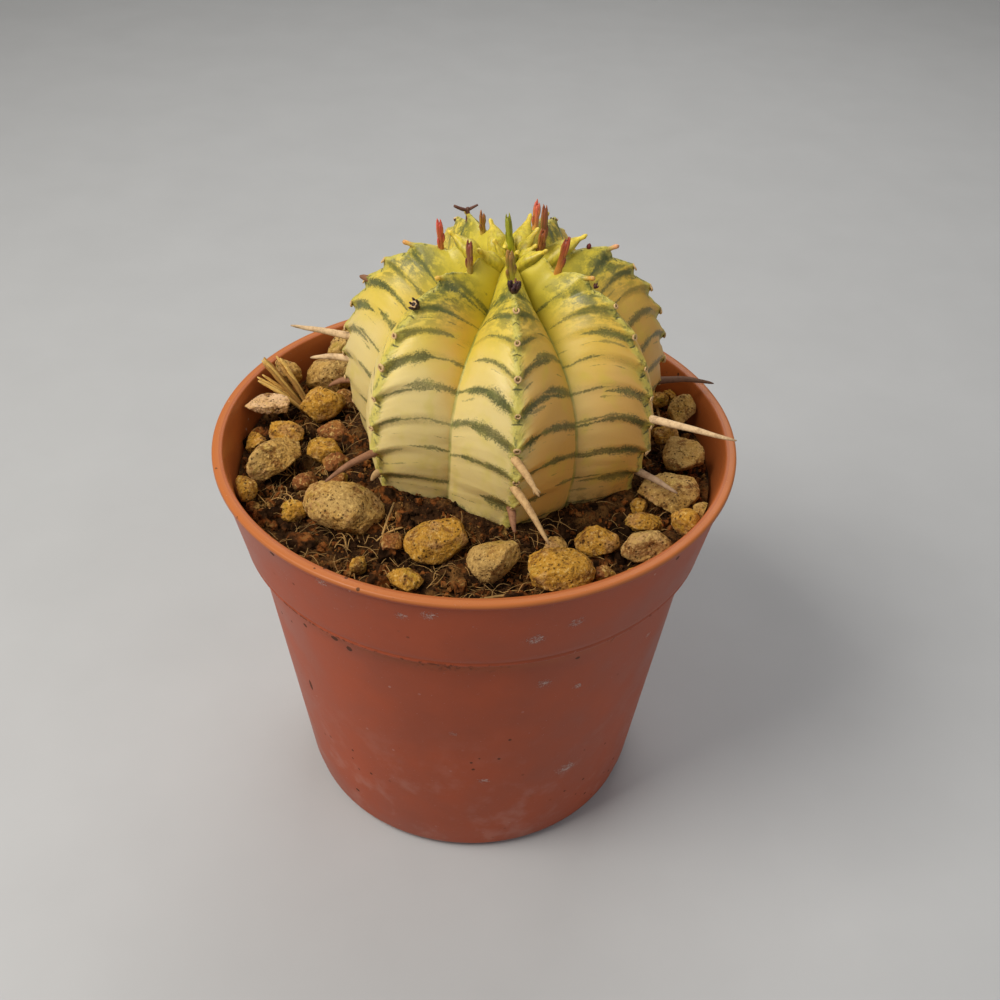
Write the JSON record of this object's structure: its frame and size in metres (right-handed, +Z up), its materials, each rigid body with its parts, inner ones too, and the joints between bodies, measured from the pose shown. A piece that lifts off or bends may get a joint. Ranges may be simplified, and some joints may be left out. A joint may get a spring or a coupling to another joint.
{
  "type": "potted variegated melon spurge",
  "caption": "Squat ribbed succulent with variegated, striped ribs, dry flower stalks and a crown of young ones, standing in gravel-topped soil in a small tapered plastic pot.",
  "frame": {"origin": "centre of the pot's foot, on the surface it stands on", "axes": "+Z up; the pictured side faces -Y"},
  "size_m": [0.0598, 0.06, 0.0762],
  "materials": {
    "pot_plastic": "moulded terracotta-coloured plastic, satin, scuffed and splashed",
    "soil": "dark peaty soil, crumbly",
    "spurge_skin": "fleshy waxy skin, cream and yellow-green with dark green stripes",
    "dry_straw": "dry fibrous stem",
    "gravel": "rough pitted ochre pumice"
  },
  "bodies": {
    "root": {"pot": "pot_plastic", "soil": "soil", "spurge": "spurge_skin", "dry_stem": "dry_straw", "stone_01": "gravel", "stone_02": "gravel", "stone_03": "gravel", "stone_04": "gravel", "stone_05": "gravel", "stone_06": "gravel", "stone_07": "gravel", "stone_08": "gravel", "stone_09": "gravel", "stone_10": "gravel", "stone_11": "gravel", "stone_12": "gravel", "stone_13": "gravel", "stone_14": "gravel", "stone_15": "gravel", "stone_16": "gravel", "stone_17": "gravel", "stone_18": "gravel", "stone_19": "gravel", "stone_20": "gravel", "stone_21": "gravel", "stone_22": "gravel", "stone_23": "gravel", "stone_24": "gravel", "stone_25": "gravel", "stone_26": "gravel", "stone_27": "gravel", "stone_28": "gravel", "stone_29": "gravel", "stone_30": "gravel", "stone_31": "gravel", "stone_32": "gravel", "stone_33": "gravel", "stone_34": "gravel", "stone_35": "gravel", "stone_36": "gravel", "stone_37": "gravel", "stone_38": "gravel", "stone_39": "gravel", "stone_40": "gravel", "stone_41": "gravel", "stone_42": "gravel", "stone_43": "gravel", "stone_44": "gravel", "stone_45": "gravel", "stone_46": "gravel", "stone_47": "gravel"}
  },
  "joints": []
}
